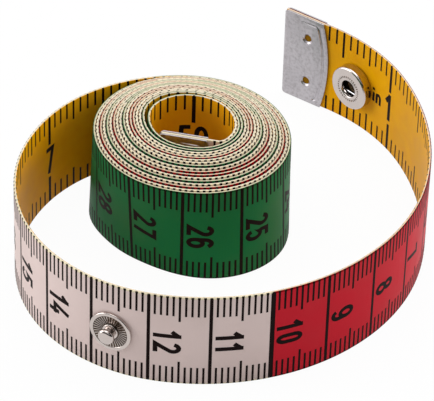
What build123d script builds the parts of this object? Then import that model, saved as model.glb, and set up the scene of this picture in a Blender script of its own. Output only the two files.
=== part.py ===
from build123d import *
import math
import os

# A tailor's tape measure standing on its edge: one long ribbon wound into a coil,
# with the free end curled round the coil, a folded clip on each end of the ribbon
# and a press stud with its socket to hold the coil shut.
#
# The ribbon's plan is walked as straights and tangent arcs. It starts behind the
# coil, where the outer wrap meets the free loop. One walk goes inwards through the
# wraps to the core, the other goes outwards round the loop to the zero end.
# Lengths are in millimetres, +Z is up and Z = 0 is the surface it stands on.

# ribbon
tape_width = 18.0
tape_thickness = 0.45

# coil
coil_turns = 17               # whole wraps, before the last quarter that reaches the core
wrap_gap = 0.09               # air between two wraps
coil_oval = 1.1               # the coil is slightly oval, as a hand-wound one is
core_rise = 3.0               # how far the core stands above the outer wraps
level_halves = 2              # half turns that stand on the surface before the rise
steep_halves = 20             # half turns that climb steeply after those
steep_rise = 2.35             # how far they climb
core_standoff = 0.35          # the last turn stands off the turn before it on two sides
core_lead = 42.0              # degrees of the innermost wrap past the last quarter
core_bend = 60.0              # degrees, into the straight that holds the core clip
core_bend_radius = 1.6
core_tip_clearance = 0.75     # from the ribbon's inner end to the last full wrap

# free loop, in order from the coil to the zero end: length and bend radius
tail_length = 27.8
tail_radius = 27.0
span_stretches = [(30.0, 32.0), (30.0, 29.0), (28.0, 37.5), (30.0, 39.5), (30.0, 51.0), (20.0, 34.0)]
flex_gap = 0.30               # between two spans, where the ribbon flexes

# folded end clips
clip_sheet = 0.35
clip_side_length = 8.4        # at the ribbon's edges
clip_middle_length = 9.7      # at the crown of the curved edge
clip_exit = 0.3               # flat ribbon beyond that crown
clip_corner = 1.0
clip_rim = 0.9                # raised border round the panel
clip_panel_depth = 0.12
clip_hole_radius = 0.65
clip_hole_spread = 9.2        # between the two punched holes
clip_hole_from_fold = 5.1
clip_dish_radius = 1.05

# press stud and socket
snap_sheet = 0.30
snap_edge = 0.10              # rounding of the pressed edges
seat_clearance = 0.05         # between pieces of a snap that seat in each other
snap_height = 8.55            # middle of the stud and of the socket on the ribbon
socket_from_zero = 16.0
socket_wall = 0.40            # cover's side wall
socket_height = 1.9
socket_shoulder = 0.165       # bevel between the cover's wall and its top
socket_mouth_radius = 1.45
socket_lip = 0.65             # height of the rolled mouth
socket_groove_radius = 2.45   # middle of the ring groove
socket_groove_width = 0.90
socket_groove_depth = 0.28
socket_base_radius = 3.65
spring_wire = 0.42
spring_leg = 3.8              # straight part of each leg
spring_tail = 70.0            # degrees that each end curls in
stud_from_zero = 126.3
stud_flange_radius = 3.7
stud_flange_height = 0.50
stud_flange_bevel = 0.20
stud_rim_width = 0.95
stud_dish_depth = 0.30
stud_rib_count = 36
stud_rib_width = 0.16
stud_rib_height = 0.14
stud_neck_radius = 1.0
stud_neck_foot = 0.35         # how far the neck's foot spreads
stud_height = 2.4
stud_top_wall = 0.75          # over the hollow that takes the rivet's pin
head_clearance = 0.10         # between the stud's head and the socket's mouth
head_shoulder = 0.25          # from the neck out to the head
head_band = 0.40              # straight band round the head
head_crown = 0.62             # rounded top above that band
rivet_radius = 3.7
rivet_tube_radius = 1.20
rivet_tube_wall = 0.28
rivet_pin_radius = 0.60
rivet_pin_short = 0.15        # gap over the pin's end
flare_width = 0.45
flare_height = 0.18

# sizes that follow
half_thickness = tape_thickness / 2
wrap_pitch = tape_thickness + wrap_gap
clip_straight = clip_middle_length + clip_exit
clip_nose = half_thickness + clip_sheet
socket_bore = socket_base_radius + seat_clearance
socket_radius = socket_bore + socket_wall
stud_head_radius = socket_mouth_radius - head_clearance
tape_hole_radius = rivet_tube_radius + seat_clearance
rivet_edge_radius = rivet_radius - snap_edge
middle_height = tape_width / 2
hinge_trim = flex_gap / 2 + half_thickness

# The last full wrap leaves room for the straight that holds the core clip. Its radius is
# where the straight's end, seen from the coil's middle, stays clear of that wrap.
core_straight = clip_straight - clip_nose
core_inset = wrap_pitch / 4 + coil_oval + core_bend_radius
core_turn = math.radians(core_bend)
core_run = core_straight * math.sin(core_turn) - core_bend_radius * math.cos(core_turn)
core_radius = (
    core_inset**2 + core_straight**2 + core_bend_radius**2 + 2 * core_inset * core_run - core_tip_clearance**2
) / (2 * (core_inset + core_run - core_tip_clearance))
quarter_turns = 4 * coil_turns + 1
coil_radius = core_radius + quarter_turns * wrap_pitch / 4


def walk(place, length, bend):
    """The place (x, y, heading) reached from a place along an arc; a bend above 0 turns left."""
    x, y, heading = place
    if bend == 0:
        return x + length * math.cos(heading), y + length * math.sin(heading), heading
    turned = heading + bend * length
    return (
        x + (math.sin(turned) - math.sin(heading)) / bend,
        y - (math.cos(turned) - math.cos(heading)) / bend,
        turned,
    )


def beside(place, offset):
    """The point at this offset to the left of a place."""
    x, y, heading = place
    return x - offset * math.sin(heading), y + offset * math.cos(heading)


def ribbon_plan(place, stretches, round_start=True, round_end=True):
    """Plan of the ribbon along (length, bend) stretches, with round or square ends."""
    left, right = [], []
    start = place
    for length, bend in stretches:
        middle, end = walk(place, length / 2, bend), walk(place, length, bend)
        for offset, edges in ((half_thickness, left), (-half_thickness, right)):
            first, last = beside(place, offset), beside(end, offset)
            if bend == 0:
                edges.append(Line(first, last))
            else:
                edges.append(ThreePointArc(first, beside(middle, offset), last))
        place = end
    caps = []
    for tip, is_round, outward in ((start, round_start, -1), (place, round_end, 1)):
        corners = beside(tip, half_thickness), beside(tip, -half_thickness)
        if is_round:
            nose = walk(tip, outward * half_thickness, 0)[:2]
            caps.append(ThreePointArc(corners[0], nose, corners[1]))
        else:
            caps.append(Line(*corners))
    return make_face(left + right + caps)


def on_face(place, side, gap=0.0):
    """Plane on a face of the ribbon: X towards the coil, Z out of the face.

    side is 1 for the outer face and -1 for the inner one; gap lifts the plane off it."""
    x, y = beside(place, -side * (half_thickness + gap))
    heading = place[2]
    out = (side * math.sin(heading), -side * math.cos(heading), 0)
    return Plane(
        origin=(x, y, snap_height),
        x_dir=(-math.cos(heading), -math.sin(heading), 0),
        z_dir=out,
    )


# ------------------------------------------------------------------ the ribbon's plan
junction = (0.0, coil_radius, 0.0)
outward_start = (0.0, coil_radius, math.pi)

coil_stretches = []
for quarter in range(1, quarter_turns + 1):
    radius = coil_radius - quarter * wrap_pitch / 4
    radius += coil_oval if quarter % 2 else -coil_oval
    if quarter > quarter_turns - 4 and quarter % 2:
        radius -= core_standoff
    coil_stretches.append((radius * math.pi / 2, -1 / radius))
lead_radius = core_radius - wrap_pitch / 4 - coil_oval
coil_stretches.append((math.radians(core_lead) * lead_radius, -1 / lead_radius))
coil_stretches.append((core_turn * core_bend_radius, -1 / core_bend_radius))
coil_stretches.append((core_straight, 0))

core_end = junction
for length, bend in coil_stretches:
    core_end = walk(core_end, length, bend)

# ends of the loop's spans, and the hinge places between them
hinge_places = [walk(outward_start, tail_length, 1 / tail_radius)]
for length, radius in span_stretches:
    hinge_places.append(walk(hinge_places[-1], length, 1 / radius))
zero_place = walk(hinge_places.pop(), clip_straight, 0)

loop_length = tail_length + sum(length for length, radius in span_stretches) + clip_straight
tape_length = loop_length + sum(length for length, bend in coil_stretches)


def loop_place(from_zero):
    """The place on the loop at this distance from the zero end, its bend radius and its node."""
    left = loop_length - from_zero
    place = outward_start
    for number, (length, radius) in enumerate([(tail_length, tail_radius)] + span_stretches):
        node = f"tape_span_{number}" if number else "tape_coil"
        if left <= length:
            return walk(place, left, 1 / radius), radius, node
        place = walk(place, length, 1 / radius)
        left -= length
    return walk(place, left, 0), math.inf, node


def chord_rise(radius, reach):
    """How far the ribbon curves away from a flat disc of this reach."""
    return 0.0 if math.isinf(radius) else radius - math.sqrt(radius**2 - reach**2)


# ------------------------------------------------------------------ ribbon solids
def climb(steps, all_steps):
    """How far the coil has risen after this many of all its climbing half turns."""
    if steps < steep_halves:
        return steep_rise * steps / steep_halves
    return steep_rise + (core_rise - steep_rise) * (steps - steep_halves) / (all_steps - steep_halves)


def make_coil():
    """Half turns of the coil, each a step higher than the one outside it, and the tail."""
    halves = [coil_stretches[start:start + 2] for start in range(0, quarter_turns - 1, 2)]
    halves.append(coil_stretches[quarter_turns - 1:])
    climbing = len(halves) - level_halves
    place = junction
    solids = []
    for number, stretches in enumerate(halves):
        level = climb(max(0, number + 1 - level_halves), climbing)
        plan = ribbon_plan(place, stretches, round_start=False, round_end=False)
        solids.append(extrude(Pos(0, 0, level) * plan, tape_width))
        for length, bend in stretches:
            place = walk(place, length, bend)
    tail = ribbon_plan(outward_start, [(tail_length - hinge_trim, 1 / tail_radius)], round_start=False)
    return extrude(tail, tape_width) + solids


def make_span(index):
    length, radius = span_stretches[index]
    is_last = index == len(span_stretches) - 1
    start = walk(hinge_places[index], hinge_trim, 1 / radius)
    if is_last:
        stretches = [(length - hinge_trim, 1 / radius), (clip_straight - clip_nose, 0)]
    else:
        stretches = [(length - 2 * hinge_trim, 1 / radius)]
    return extrude(ribbon_plan(start, stretches, round_end=not is_last), tape_width)


def pierce(nodes, from_zero):
    """Make a rivet hole through the ribbon."""
    place, radius, node = loop_place(from_zero)
    hole = Cylinder(tape_hole_radius, 10 * tape_thickness)
    nodes[node] -= on_face(place, 1).location * hole


# ------------------------------------------------------------------ folded clips
def clip_outline(inset=0.0):
    """Side view of a clip, X from the fold, Y along its height."""
    half = tape_width / 2 - inset
    fold, side, crown = inset, clip_side_length - inset, clip_middle_length - inset
    edges = [
        Line((side, -half), (fold, -half)),
        Line((fold, -half), (fold, half)),
        Line((fold, half), (side, half)),
        ThreePointArc((side, half), (crown, 0), (side, -half)),
    ]
    outline = make_face(edges)
    corners = outline.vertices().sort_by(Axis.X)[:2]
    return fillet(corners, clip_corner)


def make_clip():
    """A clip with its fold at X = 0 round the ribbon's end, Z along its height."""
    outer = clip_nose
    reach = clip_middle_length
    panel_sheet = clip_sheet - clip_panel_depth
    plan = Pos(outer, 0) * Circle(outer) + Pos((outer + reach) / 2, 0) * Rectangle(reach - outer, 2 * outer)
    slot = Pos(outer, 0) * Circle(half_thickness)
    slot += Pos(outer + reach / 2, 0) * Rectangle(reach, tape_thickness)
    folded = extrude(plan - slot, tape_width)
    side_plane = Plane(origin=(0, 0, middle_height), x_dir=(1, 0, 0), z_dir=(0, -1, 0))
    folded &= extrude(side_plane * clip_outline(), 2 * outer, both=True)
    panel = clip_outline(clip_rim + outer / 2)
    for side in (-1, 1):
        face = side_plane.offset(side * (outer - clip_panel_depth))
        folded -= extrude(face * panel, side * clip_sheet)
        for place in (-clip_hole_spread / 2, clip_hole_spread / 2):
            dish = Cone(clip_hole_radius, clip_dish_radius, panel_sheet)
            turn = Rotation(0, 0, 0) if side > 0 else Rotation(180, 0, 0)
            middle = side_plane.offset(side * (outer - clip_panel_depth - panel_sheet / 2))
            folded -= middle.location * (Pos(clip_hole_from_fold, place) * turn * dish)
    return folded


def place_clip(tip, towards_ribbon, height):
    """Put a clip on the ribbon's end at tip, with its length pointing along the ribbon."""
    return Pos(tip[0], tip[1], height) * Rotation(0, 0, math.degrees(towards_ribbon)) * make_clip()


# ------------------------------------------------------------------ press stud and socket
def turned(points):
    """Solid of revolution about Z from a closed (radius, height) outline."""
    return revolve(make_face(Polyline(*[(r, 0, z) for r, z in points], close=True)), Axis.Z)


def make_socket_base():
    outer = socket_base_radius
    return turned([(tape_hole_radius, 0), (outer, 0), (outer, snap_sheet), (tape_hole_radius, snap_sheet)])


def make_socket_shell():
    """Pressed cover: rolled mouth, ring groove, and a wall that closes round the base."""
    top, inside = socket_height, socket_height - snap_sheet
    step = top - socket_shoulder / 2
    mouth, lip_outside = socket_mouth_radius, socket_mouth_radius + snap_sheet
    groove_in, groove_out = (socket_groove_radius + way * socket_groove_width / 2 for way in (-1, 1))
    outline = [
        (socket_bore, 0),
        (socket_radius, 0),
        (socket_radius, top - 2 * socket_shoulder),
        (socket_radius - socket_shoulder, step),
        (socket_radius - 3 * socket_shoulder, step),
        (groove_out, top - socket_groove_depth),
        (groove_in, top - socket_groove_depth),
        (lip_outside, top),
        (mouth + snap_edge, top),
        (mouth, top - snap_edge),
        (mouth, top - socket_lip),
        (lip_outside, top - socket_lip),
        (lip_outside, inside - socket_groove_depth),
        (socket_bore, inside - socket_groove_depth),
    ]
    return turned(outline)


def make_spring():
    """Wire bent to a hairpin round the stud's neck: two straight legs and curled ends."""
    bend = stud_neck_radius + seat_clearance + spring_wire / 2
    end = spring_leg / 2
    path = Wire([
        CenterArc((-end, 0), bend, 90, spring_tail).edge(),
        Line((-end, bend), (end, bend)).edge(),
        CenterArc((end, 0), bend, 90, -180).edge(),
        Line((end, -bend), (-end, -bend)).edge(),
        CenterArc((-end, 0), bend, -90, -spring_tail).edge(),
    ])
    section = Plane(origin=path @ 0, z_dir=path % 0) * Circle(spring_wire / 2)
    height = snap_sheet + flare_height + 2 * seat_clearance + spring_wire / 2
    return Pos(0, 0, height) * sweep(section, path=path)


def make_socket_rivet(through):
    """Cap on the far face, with a tube through the ribbon that is flared over the base."""
    bore = rivet_tube_radius - rivet_tube_wall
    flare = rivet_tube_radius + flare_width
    low = -through - snap_sheet
    seat = snap_sheet + seat_clearance / 5
    outline = [
        (bore, low),
        (rivet_edge_radius, low),
        (rivet_radius, low + snap_edge),
        (rivet_radius, -through),
        (rivet_tube_radius, -through),
        (rivet_tube_radius, seat),
        (flare, seat),
        (flare, seat + flare_height),
        (bore + snap_edge, seat + flare_height),
        (bore, seat + flare_height - snap_edge),
    ]
    return turned(outline)


def make_stud():
    """Flange with a ribbed dish, and a hollow neck under a rounded head."""
    rim = stud_flange_radius - stud_rim_width
    crest, dish_top = stud_flange_height, stud_flange_height - snap_edge
    floor = crest - stud_dish_depth
    neck, head, top = stud_neck_radius, stud_head_radius, stud_height
    foot = neck + stud_neck_foot
    hollow = rivet_pin_radius + seat_clearance
    band_top = top - head_crown
    band_low = band_top - head_band
    below = Polyline(
        (0, top),
        (0, top - stud_top_wall),
        (hollow, top - stud_top_wall),
        (hollow, 0),
        (stud_flange_radius, 0),
        (stud_flange_radius, crest - stud_flange_bevel),
        (stud_flange_radius - stud_flange_bevel, crest),
        (rim + snap_edge, crest),
        (rim, dish_top),
        (foot, floor),
        (neck, floor + stud_neck_foot / 2),
        (neck, band_low - head_shoulder),
        (head, band_low),
        (head, band_top),
    )
    crown_radius = (head**2 + head_crown**2) / (2 * head_crown)
    spread = math.degrees(math.asin(head / crown_radius))
    crown = CenterArc((0, top - crown_radius), crown_radius, 90 - spread, spread)
    stud = revolve(Plane.XZ * make_face([below, crown]), Axis.Z)
    rib_length = rim - foot
    slope = math.degrees(math.atan2(dish_top - floor, rib_length))
    rib = Box(rib_length, stud_rib_width, stud_rib_height)
    middle = (foot + rib_length / 2, 0, (dish_top + floor) / 2 + stud_rib_height / 4)
    rib = Pos(*middle) * Rotation(0, -slope, 0) * rib
    return stud + [Rotation(0, 0, 360 * turn / stud_rib_count) * rib for turn in range(stud_rib_count)]


def make_stud_rivet(through):
    """Cap on the far face, with a pin through the ribbon into the stud's hollow neck."""
    low = -through - snap_sheet
    pin_end = stud_height - stud_top_wall - rivet_pin_short
    outline = [
        (0, low),
        (rivet_edge_radius, low),
        (rivet_radius, low + snap_edge),
        (rivet_radius, -through),
        (rivet_pin_radius, -through),
        (rivet_pin_radius, pin_end),
        (0, pin_end),
    ]
    return turned(outline)


# ------------------------------------------------------------------ the assembly
def assemble():
    nodes = {"tape_coil": make_coil()}
    for index in range(len(span_stretches)):
        nodes[f"tape_span_{index + 1}"] = make_span(index)

    towards_coil = zero_place[2] + math.pi
    nodes["end_clip"] = place_clip(zero_place, towards_coil, 0)
    core_tip = walk(core_end, clip_nose, 0)
    nodes["core_clip"] = place_clip(core_tip, core_end[2] + math.pi, core_rise)

    # the socket stands on the inner face, which is hollow: its edge meets the ribbon first
    pierce(nodes, socket_from_zero)
    place, radius, node = loop_place(socket_from_zero)
    seat = chord_rise(radius - half_thickness, socket_radius)
    under = on_face(place, -1, seat).location
    nodes["socket_base"] = under * make_socket_base()
    nodes["socket_shell"] = under * make_socket_shell()
    nodes["socket_spring"] = under * make_spring()
    nodes["socket_rivet"] = under * make_socket_rivet(tape_thickness + seat)

    # the stud stands on the outer face, which is crowned: its middle meets the ribbon first
    pierce(nodes, stud_from_zero)
    place, radius, node = loop_place(stud_from_zero)
    seat = chord_rise(radius - half_thickness, rivet_radius)
    over = on_face(place, 1).location
    nodes["stud_body"] = over * make_stud()
    nodes["stud_rivet"] = over * make_stud_rivet(tape_thickness + seat)
    return nodes


nodes = assemble()
whole = Compound(children=[Compound(part.solids()) for part in nodes.values()]).bounding_box()
centre = Pos(-(whole.min.X + whole.max.X) / 2, -(whole.min.Y + whole.max.Y) / 2, 0)

os.makedirs("parts", exist_ok=True)
for name, part in nodes.items():
    solids = (centre * part).solids()
    export_step(solids[0] if len(solids) == 1 else Compound(solids), f"parts/{name}.step")


def spot(plane, height):
    """A point this far out of a plane's origin, in the finished frame, and the way it faces."""
    point = plane.origin + plane.z_dir * height + centre.position
    return [round(value, 3) for value in point], [round(value, 5) for value in plane.z_dir]


stud_place, stud_bend, stud_node = loop_place(stud_from_zero)
socket_place, socket_bend, socket_node = loop_place(socket_from_zero)
socket_seat = chord_rise(socket_bend - half_thickness, socket_radius)
print(f"tape length {tape_length:.1f}, coil radius {coil_radius:.2f}, loop length {loop_length:.1f}")
print(f"stud on {stud_node}, socket on {socket_node}")
print("stud head at", *spot(on_face(stud_place, 1), stud_height - head_crown - head_band / 2))
print("socket mouth at", *spot(on_face(socket_place, -1, socket_seat), socket_height))
print(f"standing edge at {junction[0] + centre.position.X:.3f}, {junction[1] + centre.position.Y:.3f}")
for number, (x, y, heading) in enumerate(hinge_places, 1):
    print(f"flex_{number} at {x + centre.position.X:.3f}, {y + centre.position.Y:.3f}")
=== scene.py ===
import math

import bpy
import numpy as np
from mathutils import Matrix, Vector


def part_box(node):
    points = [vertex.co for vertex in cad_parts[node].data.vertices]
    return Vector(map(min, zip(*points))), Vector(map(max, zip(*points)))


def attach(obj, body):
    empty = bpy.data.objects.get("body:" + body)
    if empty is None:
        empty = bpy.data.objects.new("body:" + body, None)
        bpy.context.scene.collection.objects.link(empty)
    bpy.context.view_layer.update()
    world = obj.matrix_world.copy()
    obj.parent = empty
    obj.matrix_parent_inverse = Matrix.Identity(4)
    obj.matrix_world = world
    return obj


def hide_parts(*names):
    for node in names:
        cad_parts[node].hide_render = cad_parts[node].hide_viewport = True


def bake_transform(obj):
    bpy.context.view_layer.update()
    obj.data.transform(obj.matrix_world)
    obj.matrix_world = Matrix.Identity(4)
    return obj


# A tailor's tape measure: a printed ribbon wound into a coil with its free end curled
# round it, a folded steel clip on each end, and a press stud with its socket.
# The ribbon and its ink are made flat, x along the ribbon from the zero end, y through
# its thickness and z up its width, and then bent along the line that the solids follow.

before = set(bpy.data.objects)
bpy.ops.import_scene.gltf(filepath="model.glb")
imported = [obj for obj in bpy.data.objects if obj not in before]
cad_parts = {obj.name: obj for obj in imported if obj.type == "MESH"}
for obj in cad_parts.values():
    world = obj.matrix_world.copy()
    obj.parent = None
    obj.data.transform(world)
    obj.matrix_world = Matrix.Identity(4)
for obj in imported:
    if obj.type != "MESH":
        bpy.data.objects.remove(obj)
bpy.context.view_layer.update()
bpy.ops.object.select_all(action="DESELECT")

MM = 0.001

# ribbon
tape_width = 18.0 * MM
tape_thickness = 0.45 * MM
half_thickness = tape_thickness / 2
corner_round = 0.12 * MM
ribbon_cell = 0.5 * MM
width_cuts = 4
cells_in_one_pass = 100
ribbon_end_gap = 0.35 * MM

# coil
wrap_pitch = 0.54 * MM
quarter_turns = 69
coil_oval = 1.1 * MM
core_rise = 3.0 * MM
level_halves = 1.5
steep_halves = 20
steep_rise = 2.35 * MM
core_standoff = 0.35 * MM
core_lead = math.radians(42)
core_bend = math.radians(60)
core_bend_radius = 1.6 * MM
core_straight = 9.425 * MM
coil_radius = 16.7568 * MM
core_hold = 24.0 * MM
# where the coil's outer wraps lean out or in: direction and width in degrees, mm at the
# foot and at the top
coil_leans = [
    (180, 30, 1.05, 0.1),
    (-158, 20, -0.5, 0.0),
    (-118, 36, -1.5, 0.0),
    (-90, 30, -0.15, -0.3),
    (-58, 30, 0.45, 0.0),
    (-28, 24, 0.6, 0.0),
    (135, 36, 0.2, 0.6),
]

# free loop: length and bend radius of each stretch from the coil to the zero end
loop_stretches = [
    (27.8 * MM, 27.0 * MM),
    (30.0 * MM, 32.0 * MM),
    (30.0 * MM, 29.0 * MM),
    (28.0 * MM, 37.5 * MM),
    (30.0 * MM, 39.5 * MM),
    (30.0 * MM, 51.0 * MM),
    (20.0 * MM, 34.0 * MM),
]
clip_straight = 10.0 * MM

# folded clips
clip_nose = 0.575 * MM
clip_sheet = 0.26 * MM
clip_side_length = 8.4 * MM
clip_middle_length = 9.7 * MM
clip_corner = 1.0 * MM
clip_edge_round = 0.07 * MM
clip_hole_spread = 9.2 * MM
clip_hole_from_fold = 5.1 * MM
dimple_mouth = 1.05 * MM
dimple_floor = 0.50 * MM
dimple_depth = 0.42 * MM
dimple_sink = 0.19 * MM
# the line pressed inside a clip's rim: how far in it runs, the round bar that cuts it and
# how far that bar's middle stands off the plate, and where it starts and is full
rim_line_inset = 1.05 * MM
rim_line_bar = 0.66 * MM
rim_line_stand_off = 0.15 * MM
rim_line_start = 2.6 * MM
rim_line_full = 4.0 * MM
rim_line_low_share = 0.4

# press stud and socket
snap_height = 8.55 * MM
socket_from_zero = 16.0 * MM
socket_radius = 4.1 * MM
stud_from_zero = 126.3 * MM
rivet_radius = 3.7 * MM
rivet_hole_radius = 1.25 * MM
# the finer steps of the stud and the socket, in mm as their outlines are
dish_outer, dish_inner, dish_ribs = 3.02, 1.50, 36
dish_floor, dish_edge, rib_rise = 0.16, 0.30, 0.13
dot_inner, dot_outer, dot_count = 2.14, 2.50, 32
cover_top, dot_depth = 1.79, 0.07
inset_border = 0.03
socket_edge_round = 0.03 * MM

inch = 25.4 * MM
centimetre = 10 * MM

# print: how far the colours and the ink lap over the long edges
colour_lap = 0.14 * MM
yellow_lap = 0.03 * MM
loop_yellow_lap = 0.11 * MM
foot_lap = 0.12 * MM
foot_height = 0.32 * MM
# how far from each long edge the print is drawn as painted shade: red and green darker, white creamier
edge_shade_height = 0.3 * MM
# the painted shade on the tape down in the clips' pressed holes, the ink's height, how near to a long edge
# it comes, and where the marks start under the clips
hole_shade_radius = 0.8 * MM
ink_proud = 0.015 * MM
ink_edge = corner_round
mark_start = 8.7 * MM
# ticks: width, and length at the lower and at the upper edge
millimetre_tick = (0.36 * MM, 3.35 * MM, 3.8 * MM)
five_millimetre_tick = (0.38 * MM, 4.5 * MM, 4.9 * MM)
sixteenth_tick = (0.38 * MM, 2.9 * MM, 2.9 * MM)
quarter_tick = (0.40 * MM, 3.7 * MM, 3.7 * MM)
half_tick = (0.46 * MM, 5.2 * MM, 5.2 * MM)
inch_tick = (0.68 * MM, 5.3 * MM, 5.6 * MM)
centimetre_bar = 0.56 * MM
ten_centimetre_bar = 0.80 * MM
# where a tick's ink laps over the edge it looks a little wider
millimetre_foot = 0.46 * MM
sixteenth_foot = 0.38 * MM
# figures: width, height, stroke and the gap to the next one
metric_figure = (2.25 * MM, 4.6 * MM, 0.78 * MM, 0.35 * MM)
inch_figure = (2.5 * MM, 5.5 * MM, 0.86 * MM, 0.50 * MM)
unit_figure = (1.55 * MM, 3.0 * MM, 0.60 * MM, 0.07 * MM)
# where they stand: before their line and below the middle, or above the foot of the ribbon
metric_before_line = 0.75 * MM
metric_below_middle = 0.15 * MM
white_below_middle = 0.5 * MM
inch_figure_foot = 6.25 * MM
unit_place = (21.35 * MM, 7.6 * MM)
stroke_cell = 0.6 * MM


# ------------------------------------------------------------------ materials
class Wire:
    """An output in a material; arithmetic on it adds Math nodes."""

    def __init__(self, paint, socket):
        self.paint = paint
        self.socket = socket

    def math(self, operation, *others, clamp=False):
        return self.paint.arithmetic(operation, self, *others, clamp=clamp)

    def __add__(self, other):
        return self.math("ADD", other)

    def __radd__(self, other):
        return self.math("ADD", other)

    def __sub__(self, other):
        return self.math("SUBTRACT", other)

    def __rsub__(self, other):
        return self.paint.arithmetic("SUBTRACT", other, self)

    def __mul__(self, other):
        return self.math("MULTIPLY", other)

    def __rmul__(self, other):
        return self.math("MULTIPLY", other)

    def __truediv__(self, other):
        return self.math("DIVIDE", other)

    def __abs__(self):
        return self.math("ABSOLUTE")

    def fraction(self):
        return self.math("FRACT")

    def over(self, limit):
        return self.math("GREATER_THAN", limit)

    def under(self, limit):
        return self.math("LESS_THAN", limit)


class Paint:
    """A material under construction."""

    def __init__(self, name, **fixed):
        self.material = bpy.data.materials.new(name)
        self.material.use_nodes = True
        self.tree = self.material.node_tree
        self.tree.nodes.clear()
        self.shader = self.tree.nodes.new("ShaderNodeBsdfPrincipled")
        out = self.tree.nodes.new("ShaderNodeOutputMaterial")
        self.tree.links.new(self.shader.outputs["BSDF"], out.inputs["Surface"])
        for socket, value in fixed.items():
            self.put(self.shader, socket.replace("_", " "), value)

    def put(self, node, socket, value):
        if isinstance(value, Wire):
            self.tree.links.new(value.socket, node.inputs[socket])
        else:
            node.inputs[socket].default_value = value

    def node(self, kind, settings=None, sockets=None, output=0):
        made = self.tree.nodes.new("ShaderNode" + kind)
        settings = dict(settings or {})
        stops, blend = settings.pop("stops", None), settings.pop("interpolation", "LINEAR")
        for setting, value in settings.items():
            setattr(made, setting, value)
        if stops:
            made.color_ramp.interpolation = blend
            first, last = made.color_ramp.elements
            made.color_ramp.elements.remove(last)
            first.position, first.color = stops[0]
            for position, tone in stops[1:]:
                made.color_ramp.elements.new(position).color = tone
        for socket, value in (sockets or {}).items():
            self.put(made, socket, value)
        return Wire(self, made.outputs[output])

    def arithmetic(self, operation, *values, clamp=False):
        return self.node("Math", {"operation": operation, "use_clamp": clamp}, dict(enumerate(values)))

    def set(self, **sockets):
        for socket, value in sockets.items():
            self.put(self.shader, socket.replace("_", " "), value)
        return self

    def mix(self, factor, first, second, blend="MIX"):
        return self.node(
            "Mix",
            {"data_type": "RGBA", "blend_type": blend},
            {0: factor, 6: first, 7: second},
            output=2,
        )

    def noise(self, place, scale, detail=2.0, roughness=0.5):
        return self.node(
            "TexNoise", {}, {"Vector": place, "Scale": scale, "Detail": detail, "Roughness": roughness}
        )

    def bump(self, height, strength, distance):
        return self.node("Bump", {}, {"Height": height, "Strength": strength, "Distance": distance})


def colour(red, green, blue):
    """A colour given in 0 to 255 as it looks, for a socket."""

    def plain(value):
        value /= 255
        return value / 12.92 if value <= 0.04045 else ((value + 0.055) / 1.055) ** 2.4

    return plain(red), plain(green), plain(blue), 1.0


ink_colour = colour(18, 10, 10)


def printed_ribbon():
    """Coated cloth: bands of colour on the centimetre face, yellow on the inch face, bare cut edges."""
    paint = Paint("printed_ribbon", Specular_IOR_Level=0.03)
    flat = paint.node("Attribute", {"attribute_type": "GEOMETRY", "attribute_name": "flat_place"}, output=1)
    along, through, up = (paint.node("SeparateXYZ", {}, {0: flat}, output=axis) for axis in range(3))
    band = (along / (40 * centimetre)).fraction()
    outer = through.over(half_thickness - colour_lap)
    in_loop = along.under(loop_length) * along.over(clip_middle_length)
    inner = through.under(yellow_lap + in_loop * (loop_yellow_lap - yellow_lap) - half_thickness)
    from_edge = tape_width / 2 - abs(up - tape_width / 2)

    def bands(red, green, white):
        stops = [(0.0, red), (0.25, white), (0.5, green), (0.75, white)]
        return paint.node("ValToRGB", {"interpolation": "CONSTANT", "stops": stops}, {0: band})

    face = bands(colour(201, 36, 50), colour(28, 120, 74), colour(228, 208, 203))
    # painted shade along the long edges, for the shade between the wound wraps: the red and green bands are
    # drawn darker there and the white band creamier
    edge_shade_bands = bands(colour(150, 6, 14), colour(10, 88, 48), colour(236, 224, 192))
    metric = paint.mix(from_edge.under(edge_shade_height), face, edge_shade_bands)
    cloth = paint.noise(flat, 2600.0, 3.0)
    cut = paint.mix(cloth, colour(230, 224, 200), colour(252, 247, 224))
    mottle = paint.noise(flat, 420.0, 4.0)
    yellow = paint.mix(mottle, colour(236, 160, 2), colour(248, 184, 4))
    # the cut edge is creamier towards the outer face and takes on some of its colour
    across = through / tape_thickness + 0.5
    cut = paint.mix(0.55, cut, paint.mix(across, colour(222, 214, 206), colour(246, 226, 140)))
    cut = paint.mix(across * 0.45, cut, face)
    base = paint.mix(outer, cut, metric)
    base = paint.mix(inner, base, yellow)

    def printed_feet(pitch, width, side):
        """Where the ticks reach the edge and their ink laps over it."""
        step = (along / pitch + 0.5).fraction() - 0.5
        return abs(step).under(width / pitch / 2) * side * from_edge.under(foot_height)

    feet = printed_feet(MM, millimetre_foot, through.over(half_thickness - foot_lap))
    feet = feet + printed_feet(inch / 16, sixteenth_foot, through.under(foot_lap - half_thickness))
    feet = feet * along.over(mark_start) * along.under(tape_length - mark_start)
    base = paint.mix(feet, base, ink_colour)
    cloud = paint.noise(flat, 55.0, 3.0)
    base = paint.mix((cloud - 0.42).math("MULTIPLY", 0.5, clamp=True), base, colour(120, 96, 84))
    # painted shade: the tape is drawn dull and dark where it lies down in the clips' pressed holes
    hole_shade_rise = abs(abs(up - tape_width / 2) - clip_hole_spread / 2)
    for hole in (clip_hole_from_fold, tape_length + clip_nose - clip_hole_from_fold):
        from_hole = along - hole
        hole_shade = (from_hole * from_hole + hole_shade_rise * hole_shade_rise).under(hole_shade_radius**2)
        base = paint.mix(hole_shade * 0.75, base, colour(96, 66, 14))
    # the woven cloth shows faintly through the coating
    threads = {"Vector": flat, "Scale": 620.0, "Distortion": 0.8}
    weft = paint.node("TexWave", {"bands_direction": "X"}, threads)
    warp = paint.node("TexWave", {"bands_direction": "Z"}, threads)
    weave = weft * 0.5 + warp * 0.5 + mottle * 0.8
    rough = 0.40 + (mottle - 0.5) * 0.16
    paint.set(Base_Color=base, Roughness=rough, Normal=paint.bump(weave, 0.22, 0.02 * MM))
    return paint.material


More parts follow.
